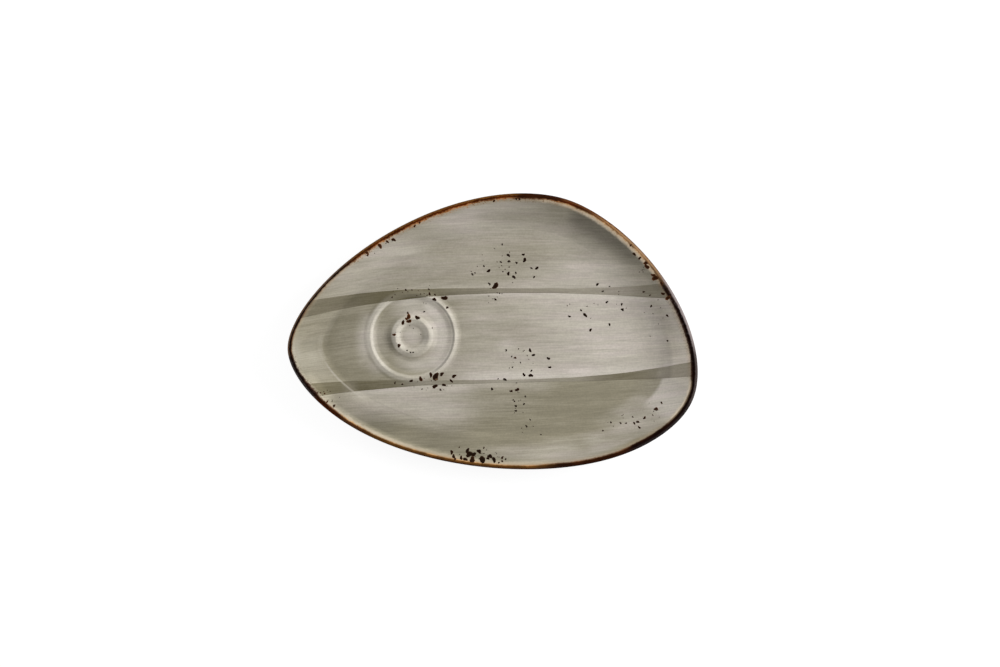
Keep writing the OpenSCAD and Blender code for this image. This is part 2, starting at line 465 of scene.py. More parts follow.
def make_bare_clay():
    material, tree, shader = new_material("bare_clay")
    place = object_place(tree)
    grit = noise(place, 900, 6)
    tone = grit * 0.6 + noise(place, 60, 3) * 0.4
    colour = ramp(tone, (0.3, (0.42, 0.33, 0.24)), (0.7, (0.66, 0.57, 0.46)))
    dress(shader, grit, strength=0.5, depth=0.15, Base_Color=colour, Roughness=0.85)
    return material


clay_rows = (
    floor_rows(0, floor_steps=3, well_steps=24)[::-1] + wall_path(0, steps=10) + lip_path(0, steps=10)[1:]
    + flank_path(0, steps=12)[1:] + foot_path(steps=6)
    + [(foot_inner, share, base_level) for share in (0.3, 0.6, 1.0, 2.0)]
)
clay_body = swept("clay_body_fired", clay_rows, make_bare_clay())
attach(clay_body, "root")
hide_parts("clay_body")

# Base glaze
# The grey glaze poured under the base, inside the foot ring. It pools flat and shows a few pin specks,
# because nobody brushes it.

PIN_BROWN = (0.09, 0.06, 0.04)


def span(value, low, high, to_low=0.0, to_high=1.0):
    """A soft step from one value to another."""
    node = add_node(value.tree, "ShaderNodeMapRange", {"interpolation_type": "SMOOTHSTEP"})
    for socket, number in zip(node.inputs, (value, low, high, to_low, to_high)):
        feed(socket, number)
    return Value(node.outputs[0])


def make_base_grey():
    material, tree, shader = new_material("base_grey_glaze")
    place = object_place(tree)
    cloud = noise(place, 28, 4)
    colour = ramp(cloud, (0.3, (0.25, 0.225, 0.165)), (0.7, (0.36, 0.33, 0.26)))
    pins = span(noise(place, 620, 1), 0.74, 0.78)
    dress(shader, noise(place, 160, 2), strength=0.2, depth=0.2, Base_Color=mix(pins, colour, PIN_BROWN),
          Roughness=span(cloud, 0.3, 0.7, 0.42, 0.3))
    return material


base_rows = (
    [(foot_inner, share, base_level) for share in (2.0, 1.0, 0.6, 0.3, 0.0)]
    + [(foot_inner, share, base_level - glaze) for share in (0.0, 0.02, 0.3, 0.6, 1.0, 2.0)]
)
base_glaze = swept("base_glaze_poured", base_rows, make_base_grey())
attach(base_glaze, "root")
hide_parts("base_glaze")

# Flank glaze
# The dark brown glaze on the plate's outer flank, from the lip down to the foot ring. It is dipped, so
# it runs a little thicker towards the foot and breaks to rust where it is thin.

THIN_RUST = (0.10, 0.035, 0.014)


def make_dark_flank():
    material, tree, shader = new_material("dark_flank_glaze")
    place = object_place(tree)
    runs = noise(place * (1.0, 1.0, 0.25), 85, 4, 0.6)
    thin = span(separate(place)[2] + runs * (6 * MM), 18 * MM, 26 * MM)
    colour = ramp(runs, (0.35, (0.022, 0.011, 0.009)), (0.65, (0.055, 0.022, 0.013)))
    dress(shader, noise(place, 140, 2), strength=0.15, depth=0.2, Base_Color=mix(thin, colour, THIN_RUST),
          Roughness=span(runs, 0.3, 0.7, 0.26, 0.4), Specular_IOR_Level=0.15)
    return material


def coat_rows(path, steps, under_steps):
    """Rows of a coat along a path: over its outside, back on the clay under it, and round to its start."""
    outside = path(glaze, steps)
    return outside + path(0, under_steps)[::-1] + outside[:1]


flank_glaze = swept("flank_glaze_dipped", coat_rows(flank_path, steps=28, under_steps=8), make_dark_flank())
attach(flank_glaze, "root")
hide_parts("flank_glaze")

# Face glaze
# The grey glaze of the face, laid on with a wide brush in three strokes from end to end. Each stroke dries
# streaky, olive where it is lean and milky where it is full. Iron from the lip bleeds into its edge. Light
# and shade are painted on its wall and on the beads of the well.

# Edges of the two overlaps between strokes, as shares of half the width, evenly spread from end to end
UPPER_OVERLAP = ((0.185, 0.43, 0.22, 0.38), (0.07, 0.345, 0.295, 0.225))
LOWER_OVERLAP = ((-0.395, -0.295, -0.445, -0.21), (-0.51, -0.32, -0.405, -0.325))

OLIVE = (0.27, 0.245, 0.175)
MILKY = (0.585, 0.543, 0.472)
ROSY_MILK = (0.6, 0.542, 0.492)
DOUBLED = (0.148, 0.13, 0.079)
CREAM = (0.82, 0.7, 0.54)
BEAD_CREAM = (0.72, 0.675, 0.585)

# Where each stroke is full: middle and reach in millimetres, and strength
FULL_ABOVE = (
    (0, 62, 170, 75, 0.25), (-16, 80, 70, 25, 0.4), (-105, 40, 60, 40, 0.44), (-75, 60, 40, 22, 0.45),
    (-54, 48, 36, 18, 0.25), (-16, 50, 40, 20, 0.15), (61, 41, 65, 20, 0.48), (70, 60, 45, 30, 0.34),
    (98, 42, 36, 30, 0.3), (40, 76, 50, 22, 0.1), (-67, 49, 20, 12, -0.2),
)
FULL_MIDDLE = (
    (84, 2, 150, 300, 0.84), (-16, -26, 65, 18, 0.3), (-59, -3, 17, 17, 0.66), (-58, 17, 26, 14, 0.66),
    (-38, -6, 17, 32, 0.8), (-41, 10, 16, 14, 0.4), (-50, -24, 20, 9, 0.5), (-60, -26, 16, 8, 0.3),
    # The zones at (-95, -6) and (-89.5, -6) paint light on the left slope of the outer bead
    (-68, -19, 9, 9, 0.25), (-81, -6, 10, 22, 0.2), (-95, -6, 9, 27, 0.52), (-89.5, -6, 9, 26, 0.42),
    (-107, -6, 18, 26, 0.07),
    (-75, -5, 60, 45, 0.12), (-14, 4, 34, 34, 0.22), (22, 0, 55, 14, -0.12), (-45, 19.5, 9, 7, 0.8),
    (-90, 9, 9, 7, 0.22), (-85, -26.5, 11, 9, 0.45), (10, -11, 12, 9, 0.28),
)
FULL_BELOW = (
    (-70, -52, 70, 22, 0.62), (-36, -62, 38, 18, 0.4), (-16, -52, 75, 17, 0.2), (55, -91, 85, 15, 0.4),
    # The zone at (125, -52) is partly painted light on the lower right of the wall, partly milkier glaze
    (125, -52, 30, 40, 0.25), (98, -66, 30, 14, 0.3), (32, -41, 20, 7, 0.2), (-25, -45, 22, 7, 0.25),
)
# Shade painted on the slopes of the inner bead that face away from the light, in the same way
SLOPE_PAINTED_SHADE = ((-49.5, -4.5, 6.5, 11, 0.24), (-76, -5, 6.5, 12, 0.3), (-74, -11, 5, 6, 0.2))
# Where the doubled coat is leaner and fires darker, anywhere and on the floor alone, in the same way
LEAN_DOUBLED = (
    (117, 30, 22, 14, 0.16), (-45, 28, 75, 45, 0.24), (18, 31, 50, 45, 0.13), (-53, -37, 22, 14, -0.2),
    (15, -36, 40, 20, -0.14), (-105, -43, 9, 12, -0.12),
)
LEAN_DOUBLED_FLOOR = ((98, -33.5, 45, 20, 0.27),)

# Glaze that the brush pushed to a stroke's edge lies fuller there: the edge, its side, how far it reaches in
# millimetres, its strength at the left end, and how that changes from one place along the plate to another
STROKE_EDGES = (
    (UPPER_OVERLAP[0], 1, 9, 0, ((-75, -45, 0.28),)),
    (UPPER_OVERLAP[1], -1, 6, 0.05, ((-80, -60, 0.4), (0, 40, -0.2))),
    (LOWER_OVERLAP[0], 1, 10, 0, ((-40, -12, 0.6), (15, 65, -0.38))),
    (LOWER_OVERLAP[1], -1, 8, 0.1, ((-112, -92, 0.4), (-20, 70, -0.5))),
)

# Light and shade painted on the wall by direction, the light as milkier glaze and the shade as a darker tone,
# which a negative strength turns lighter: middle and spread in degrees, strength, and the depths from the
# edge in millimetres between which it comes in and fades out
WALL_PAINTED_LIGHT = (
    (14, 13, 0.2, 5, 7, 9, 16),
    (14, 13, 0.12, 18, 22, 27, 32),
    (66, 16, 0.1, 4, 7, 28, 40),
    (98, 26, 0.26, 4.5, 6.5, 9, 18),
    (120, 16, 0.1, 5, 8, 22, 27),
    (166, 15, 0.1, 4, 7, 32, 40),
    (182, 13, 0.16, 3.5, 4.5, 6.5, 11),
    (184, 18, 0.16, 20, 23, 24.2, 25),
    (199, 16, 0.11, 4, 7, 22, 24),
    (272, 14, 0.14, 7, 9, 14, 18),
    (286, 12, 0.12, 12, 15, 20, 24),
    (299, 13, 0.34, 5.5, 8.5, 16, 23),
    (318, 12, 0.25, 4, 7, 29, 35),
    (341, 22, 0.76, 4, 6.5, 22.2, 25),
)
WALL_PAINTED_SHADE_AND_LIGHT = (
    (2, 13, -0.3, 4, 6, 16, 20),
    (30, 12, -0.16, 9, 13, 23, 28),
    (44.5, 18, 0.38, 4.2, 7, 11, 21),
    (176, 13, 0.07, 9, 13, 20, 23),
    (211, 9, -0.3, 4, 6, 8, 13),
    (228, 15, 0.26, 6.5, 9, 14, 27),
    (242, 20, 0.2, 6, 9, 24, 34),
    (258, 18, 0.12, 5.5, 8, 18, 24),
    (286, 12, 0.12, 4, 5.5, 10, 14),
)
# A highlight painted along the fold between wall and floor, as a paler line
FOLD_HIGHLIGHT = (212, 15, 21.6, 22.6, 23.1, 23.8)


def overlap_edge(along, shares):
    """The height across the plate of an overlap's edge, in metres, at a share of its length."""
    a, b, c, d = [share * width / 2 for share in shares]
    curve = along * (d - 3 * c + 3 * b - a) + 3 * (c - 2 * b + a)
    return along * (along * curve + 3 * (b - a)) + a


def kept_value(tree, name, output="Fac"):
    """What the geometry tree kept on the points under a name."""
    return from_node(tree, "ShaderNodeAttribute", {"attribute_name": name}, output)


# Share of a spread within which what is set for a direction holds in full
full_share = 0.4


def towards(facing, direction, spread):
    """How near an edge faces to a direction: 1 in the middle and 0 past a spread, both in degrees."""
    turn = math.radians(direction)
    near = calc("DOT_PRODUCT", facing, (math.cos(turn), math.sin(turn), 0.0), output="Value")
    return span(near, math.cos(math.radians(spread)), math.cos(math.radians(spread * full_share)))


def fullness(place_mm, zones):
    """Sum of soft oval zones, each with its middle, reach and strength."""
    total = 0.0
    for x, y, reach_x, reach_y, strength in zones:
        away = (place_mm - (x, y, 0.0)) * (1 / reach_x, 1 / reach_y, 0.0)
        total += span(calc("LENGTH", away, output="Value"), 0, 1, strength, 0)
    return total


def make_brushed_group():
    """Colour, roughness and relief of the brushed glaze, with light and shade painted on the wall and the
    beads; doubled coats are darker.
    """
    tree, given, result = new_tree("Brushed glaze", {"Coats": "Float"},
                                   {"Color": "Color", "Roughness": "Float", "Height": "Float"})
    place = object_place(tree)
    place_mm = place * (1000, 1000, 1000)
    x, y, z = separate(place)
    depth = kept_value(tree, "inset") * 1000
    facing = kept_value(tree, "facing", "Vector")
    along = x * (1 / length) + 0.5
    upper, lower = [overlap_edge(along, [(a + b) / 2 for a, b in zip(*edges)])
                    for edges in (UPPER_OVERLAP, LOWER_OVERLAP)]
    across = (y - lower) / (upper - lower)

    def streaks(scale_along, scale_across, seed, detail, roughness=0.5):
        return noise(combine(x * scale_along, across * scale_across, seed), 1, detail, roughness)

    def on_wall(direction, spread, start, full_from, full_to, end):
        return towards(facing, direction, spread) * span(depth, start, full_from) * span(depth, end, full_to)

    # How full each of the three strokes lies
    above = span(across, 0.98, 1.02)
    below = span(across, 0.02, -0.02)
    middle = 1 - above - below
    full = 0.0
    for stroke, zones in ((above, FULL_ABOVE), (middle, FULL_MIDDLE), (below, FULL_BELOW)):
        full += fullness(place_mm, zones) * stroke
    for stroke, edge in zip((above, middle, middle, below), STROKE_EDGES):
        shares, side, reach, strength, changes = edge
        for start, end, change in changes:
            strength += span(x, start * MM, end * MM, 0, change)
        away = (y - overlap_edge(along, shares)) * side
        full += span(away, reach * MM, 0, 0, strength) * stroke
    # Light painted on the wall, as milkier glaze
    for direction, spread, strength, *depths in WALL_PAINTED_LIGHT:
        full += on_wall(direction, spread, *depths) * strength

    # Marks of the brush and the shade they give, and shade painted on the wall and on the slopes of the inner
    # bead
    drag = streaks(14, 9, 0, 3) * 0.45 + streaks(55, 58, 3, 3, 0.6) * 0.55
    shade = span(drag, 0.3, 0.7, 0.885, 1.115) * span(noise(place, 800, 2), 0.25, 0.75, 0.94, 1.06)
    shade *= span(streaks(9, 60, 5, 2), 0.62, 0.74, 1, 0.88)
    # Shade painted on the wall, and light where the strength is negative
    for direction, spread, strength, *depths in WALL_PAINTED_SHADE_AND_LIGHT:
        shade *= 1 - on_wall(direction, spread, *depths) * strength
    # Painted shade on the bead slopes that face away from the light
    shade *= 1 - fullness(place_mm, SLOPE_PAINTED_SHADE)

    # Colour of one coat and of two
    streak = (drag - 0.5) * 0.5
    milky = mix(span(streaks(26, 12, 7, 2), 0.4, 0.65), MILKY, ROSY_MILK)
    single = mix(full + streak, OLIVE, milky)
    twice = streak * 0.4 + span(x, -95 * MM, -5 * MM, 0.02, 0.32) + span(across, 0.3, 0.7, 0, 0.08)
    twice -= fullness(place_mm, LEAN_DOUBLED)
    twice -= fullness(place_mm, LEAN_DOUBLED_FLOOR) * span(depth, 25.5, 28.5)
    colour = mix(given["Coats"], single, mix(twice, DOUBLED, milky))
    # Painted highlight along the fold between wall and floor
    colour = mix(on_wall(*FOLD_HIGHLIGHT) * 0.34, colour, MILKY)

    # Glaze runs off the crests of the beads, which fire creamy; the stronger cream on the left side of the
    # well is a painted highlight
    from_well = combine(x, y) - (*well_middle, 0.0)
    radius = calc("LENGTH", from_well, output="Value")
    broad_side = calc("DOT_PRODUCT", calc("NORMALIZE", from_well), (1, 0, 0), output="Value")
    in_well = span(radius, well_reach, well_reach - 2 * MM) * span(given["Coats"], 0, 1, 1, 0.2)
    crest = span(z, floor_level + 0.2 * MM, floor_level + 1.0 * MM, 0, 0.4)
    # Painted highlight: the cream is stronger on the left side of the well
    crest *= span(broad_side, -0.3, -0.75, 1, 1.7)
    colour = mix(crest * in_well, colour, BEAD_CREAM)
    # A shadow line painted inside the outer bead on the broad side, where its slope faces away from the light
    line = span(radius, 29.2 * MM, 30.4 * MM) * span(radius, 31.6 * MM, 31.0 * MM)
    shade *= 1 - line * span(broad_side, 0.3, 0.75, 0, 0.4)
    feed(result["Color"], colour * shade)
    feed(result["Roughness"], span(drag, 0.3, 0.7, 0.44, 0.34))
    feed(result["Height"], drag)
    return tree


# Shades that iron fires to, from thick to thin, and the greys of the lip's outer edge, of which the two slate
# greys are a painted sheen
BLACK_IRON = (0.007, 0.002, 0.001)
DEEP_BROWN = (0.03, 0.008, 0.002)
RUST = (0.066, 0.012, 0.001)
BROWN = (0.098, 0.036, 0.012)
AMBER = (0.16, 0.066, 0.014)
TAN = (0.145, 0.085, 0.05)
UMBER = (0.06, 0.03, 0.019)
CINNAMON = (0.16, 0.078, 0.038)
ORANGE = (0.36, 0.15, 0.05)
SAND = (0.26, 0.18, 0.11)
HONEY = (0.5, 0.29, 0.13)
COAL = (0.022, 0.016, 0.015)
SHEEN_SLATE = (0.056, 0.043, 0.04)
PALE_SHEEN_SLATE = (0.22, 0.185, 0.18)

# Iron at the lip by direction: middle and spread in degrees, shades of its outer edge, where the slate greys
# are a painted sheen, its core and its fringe, its width and raggedness in millimetres, and how creamy the
# glaze is beside it
IRON_STRETCHES = (
    (2, 16, SHEEN_SLATE, BLACK_IRON, UMBER, 4.6, 0.8, 0.05),
    (18, 13, PALE_SHEEN_SLATE, BLACK_IRON, UMBER, 4.9, 0.9, 0),
    (34, 11, TAN, TAN, HONEY, 3.1, 0.9, 1),
    (49, 14, BROWN, BROWN, HONEY, 3.1, 1, 0.95),
    (63, 13, BROWN, RUST, HONEY, 3.6, 1.1, 0.85),
    (76, 11, DEEP_BROWN, DEEP_BROWN, ORANGE, 3.5, 1.2, 0.6),
    (90, 12, DEEP_BROWN, DEEP_BROWN, CINNAMON, 4, 1.3, 0.25),
    (106, 17, AMBER, RUST, ORANGE, 3.35, 1.6, 0.15),
    (128, 18, AMBER, RUST, ORANGE, 3.75, 1.8, 0.1),
    (150, 12, TAN, BLACK_IRON, SAND, 3.2, 0.9, 0.05),
    (174, 22, TAN, BLACK_IRON, CINNAMON, 3.1, 0.6, 0.12),
    (198, 12, SHEEN_SLATE, BLACK_IRON, UMBER, 3.3, 1.2, 0.15),
    (212, 12, SHEEN_SLATE, BLACK_IRON, UMBER, 3.9, 1.4, 0.2),
    (228, 15, BROWN, BROWN, HONEY, 3.4, 0.8, 0.38),
    (219, 7, RUST, DEEP_BROWN, CINNAMON, 3.7, 0.8, 0.3),
    (241, 10, AMBER, AMBER, HONEY, 2.95, 0.5, 0.42),
    (260, 20, BROWN, AMBER, HONEY, 3, 0.4, 0.25),
    (289, 16, DEEP_BROWN, DEEP_BROWN, CINNAMON, 3.3, 0.6, 0),
    (338, 18, COAL, BLACK_IRON, SAND, 4, 0.5, 0.85),
    (348, 9, SHEEN_SLATE, BLACK_IRON, SAND, 4, 0.5, 0.85),
)
IRON_STAIN = (1, 0.88, 0.76)


def between(first, second, share):
    """The value at a share of the way from a first one to a second."""
    return (second - first) * share + first


def make_iron_group():
    """Iron brown from the lip over a glaze: its colours by direction, with a painted sheen on the outer edge,
    and ragged at its inner edge.
    """
    tree, given, result = new_tree("Iron at the lip", {"Glaze": "Color"}, {"Color": "Color", "Iron": "Float"})
    place = object_place(tree)
    depth = kept_value(tree, "inset") * 1000
    facing = kept_value(tree, "facing", "Vector")
    # What holds where no stretch does, in the order of a stretch's row
    shades = [COAL, BLACK_IRON, DEEP_BROWN]
    measures = [3.95, 0.5, 0.1]
    for direction, spread, *stretch in IRON_STRETCHES:
        share = towards(facing, direction, spread)
        shades = [mix(share, old, new) for old, new in zip(shades, stretch[:3])]
        measures = [between(old, new, share) for old, new in zip(measures, stretch[3:])]
    outer, core, fringe = shades
    reach, ragged, creamy = measures
    fray = noise(place, 330, 5, 0.8) - 0.5
    share = (depth - fray * (ragged * 2.6)) / reach
    cream = span(fray * 3 + depth, 6.6, 4.5) * creamy
    glaze_colour = mix(cream, given["Glaze"], CREAM)
    # Iron that bled into the glaze next to it and warms it
    clean = calc("MAXIMUM", towards(facing, 205, 50), towards(facing, 338, 24))
    stain = span(share, 1.9, 1.05, 0, 0.7) * (1 - clean)
    glaze_colour = mix(stain, glaze_colour, glaze_colour * IRON_STAIN)
    stipple = span(noise(place, 1000, 1), 0.57, 0.64) * span(share, 2, 1.1) * span(ragged, 0.4, 1.4, 0, 0.9)
    iron = calc("MAXIMUM", span(share, 1.2, 0.97), stipple)
    mottle = span(noise(place, 420, 3), 0.5, 0.8) * 0.3
    # Iron pools darker and thinner by turns along the lip
    pooled = span(noise(place, 75, 3), 0.36, 0.64, 1.35, 0.6)
    inner = mix(span(share, 0.78, 1), core, fringe) * pooled
    wiped = mix(calc("MAXIMUM", span(share, 0.5, 0.34), mottle), inner, outer)
    # A bright line along the top of the lip, where the iron is wiped thinnest
    line = span(share, 0.24, 0.36) * span(share, 0.85, 0.62) * (towards(facing, 33, 17) * 0.4)
    wiped = mix(line, wiped, fringe)
    feed(result["Color"], mix(iron, glaze_colour, wiped))
    feed(result["Iron"], iron)
    return tree


brushed_group = make_brushed_group()
iron_group = make_iron_group()


def brushed_with_iron(tree, coats):
    """The brushed glaze with iron from the lip over it: colour, iron, roughness and relief."""
    glaze_colour, roughness, relief = from_node(
        tree, "ShaderNodeGroup", {"node_tree": brushed_group}, ("Color", "Roughness", "Height"), Coats=coats)
    colour, iron = from_node(
        tree, "ShaderNodeGroup", {"node_tree": iron_group}, ("Color", "Iron"), Glaze=glaze_colour)
    return colour, iron, roughness, relief


def make_grey_glaze(name, coats):
    """The face's grey glaze, with iron at the lip; coats is 0 for one coat and 1 for two."""
    material, tree, shader = new_material(name)
    colour, iron, roughness, relief = brushed_with_iron(tree, coats)
    dress(shader, relief, strength=0.25, depth=0.12, Base_Color=colour, Roughness=roughness + iron * 0.4,
          Specular_IOR_Level=0.02, Coat_Weight=span(iron, 0, 1, 0.2, 0), Coat_Roughness=0.3)
    return material


face_rows = (
    floor_rows(glaze, floor_steps=9, well_steps=96)[::-1] + wall_path(glaze, steps=36)
    + wall_path(0, steps=10)[::-1] + floor_rows(0, floor_steps=3, well_steps=30)
)
face_glaze = swept("face_glaze_brushed", face_rows, make_grey_glaze("grey_glaze", coats=0.0))
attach(face_glaze, "root")
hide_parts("face_glaze")

# Brush bands
# Where two strokes overlap, the glaze lies double and fires darker. Each overlap is a thin band from end
# to end, feathered at its edges, that follows the floor, the wall and the beads of the well.

band_thickness = 0.15 * MM
band_gap = 0.1 * MM
# Directions in degrees between which the left and the right ends of the bands lie
END_DIRECTIONS = ((110, 250), (-75, 75))
halvings = 40
# Rays that lay a coat or a fleck on a surface start clear above the plate
ray_height = 100 * MM
ray_length = 1.0


def named(tree, kind, name):
    """The value kept on the points under a name."""
    return from_node(tree, "GeometryNodeInputNamedAttribute", {"data_type": kind}, Name=name)


def dropped(surface, x, y, kind="FLOAT", attribute="inset"):
    """Drops points straight down on a surface: where they land, whether they hit, and what is kept there."""
    return from_node(
        surface.tree, "GeometryNodeRaycast", {"data_type": kind}, ("Hit Position", "Is Hit", "Attribute"),
        Target_Geometry=surface, Attribute=named(surface.tree, kind, attribute),
        Source_Position=combine(x, y, ray_height), Ray_Direction=(0, 0, -1), Ray_Length=ray_length)


def without(geometry, hit):
    """A geometry without the points that don't hit."""
    return from_node(geometry.tree, "GeometryNodeDeleteGeometry", Geometry=geometry, Selection=1 - hit)


def surface_of(piece):
    """The geometry of a piece given to a tree."""
    return from_node(piece.tree, "GeometryNodeObjectInfo", output="Geometry", Object=piece)


def joined(parts):
    """Several geometries as one."""
    node = add_node(parts[0].tree, "GeometryNodeJoinGeometry")
    for part in parts:
        feed(node.inputs[0], part)
    return Value(node.outputs[0])


def make_band_tree(name, edges):
    """Lays a thin coat between two edge curves on a surface, from one end of the plate to the other."""
    tree, given, result = new_tree(name, {
        "Ends": "Geometry", "Surface": "Object", "Thickness": "Float", "Wander": "Float",
        "Cells along": "Int", "Cells across": "Int", "Material": "Material"})
    rows = given["Cells across"] + 1
    grid = from_node(tree, "GeometryNodeMeshGrid", Vertices_X=given["Cells along"] + 1, Vertices_Y=rows)
    column, row = grid_place(tree, rows)
    across = row / given["Cells across"]
    onward = column / given["Cells along"]

    ends = [point_of(given["Ends"], corner)[0] for corner in range(4)]
    x = between(between(ends[0], ends[1], across), between(ends[2], ends[3], across), onward)

    def wandering(shares, seed):
        drift = from_node(tree, "ShaderNodeTexNoise", {"noise_dimensions": "2D"}, Vector=combine(x, seed),
                          Scale=30, Detail=3)
        return overlap_edge(x * (1 / length) + 0.5, shares) + (drift - 0.5) * given["Wander"]

    upper_edge, lower_edge = edges
    y = between(wandering(lower_edge, 2.0), wandering(upper_edge, 9.0), across)

    surface = surface_of(given["Surface"])
    landed, hit, inset = dropped(surface, x, y)
    facing = dropped(surface, x, y, "FLOAT_VECTOR", "facing")[2]
    rise = span(across * (1 - across) * 4, 0, 0.5) * given["Thickness"]
    top = store(moved(grid, Position=landed + combine(0, 0, rise)), "FLOAT", "inset", inset)
    top = store(top, "FLOAT_VECTOR", "facing", facing)
    under = moved(without(top, hit), Offset=(0, 0, -2 * band_thickness))
    coat = from_node(tree, "GeometryNodeExtrudeMesh", Mesh=under, Individual=False,
                     Offset=(0, 0, 1), Offset_Scale=2 * band_thickness)
    both = joined((from_node(tree, "GeometryNodeFlipFaces", Mesh=under), coat))
    finish_tree(merged(both), given["Material"], result)
    return tree


def outline_point(turn, inset):
    """Point of the pebble outline whose edge faces a direction, drawn in by an inset."""
    unit_x, unit_y = unit_outline(turn)
    return Vector((unit_x * (length / 2 - inset), unit_y * (width / 2 - inset)))


def band_end(shares, low, high, inset):
    """Where an overlap's edge meets the outline, between two directions in degrees, by halving the gap."""
    low, high = math.radians(low), math.radians(high)

    def over(turn):
        point = outline_point(turn, inset)
        return point.y - overlap_edge(point.x / length + 0.5, shares)

    rising = over(high) > over(low)
    for _ in range(halvings):
        half = (low + high) / 2
        if (over(half) > 0) == rising:
            high = half
        else:
            low = half
    return outline_point(half, inset)


def brush_band(name, edges, node):
    """One overlap of two strokes, from lip to lip."""
    upper_edge, lower_edge = edges
    inset = lip_point(wall_lean, glaze).x + band_gap
    ends = [band_end(shares, low, high, inset) for low, high in END_DIRECTIONS
            for shares in (lower_edge, upper_edge)]
    ends_mesh = points_mesh(name + "_ends", [(*end, 0) for end in ends])
    piece = grown(name, make_band_tree(name + " coat", edges), ends_mesh, {
        "Surface": face_glaze, "Thickness": band_thickness, "Wander": 0.9 * MM, "Cells along": 260,
        "Cells across": 12, "Material": doubled_glaze})
    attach(piece, "root")
    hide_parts(node)
    return piece


doubled_glaze = make_grey_glaze("doubled_glaze", coats=1.0)
upper_band = brush_band("upper_band_doubled", UPPER_OVERLAP, "upper_brush_band")
lower_band = brush_band("lower_band_doubled", LOWER_OVERLAP, "lower_brush_band")

# Rim glaze
# The iron-brown glaze wiped over the lip. It is near black where it is thick, at the broad end, and amber to
# rust where it thins. Its outer edge has a painted sheen in slate greys.


def make_iron_rim():
    material, tree, shader = new_material("iron_rim_glaze")
    colour, iron, *_ = brushed_with_iron(tree, coats=0.0)
    dress(shader, noise(object_place(tree), 220, 3), strength=0.2, depth=0.2, Base_Color=colour,
          Roughness=span(iron, 0, 1, 0.35, 0.45), Specular_IOR_Level=0.025)
    return material


rim_glaze = swept("rim_glaze_wiped", coat_rows(lip_path, steps=22, under_steps=8), make_iron_rim())
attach(rim_glaze, "root")
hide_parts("rim_glaze")

# Iron flecks
# Grains of iron in the clay that melt and break through the glaze in firing, in clusters. Each is a low
# dark blister with a rusty margin.

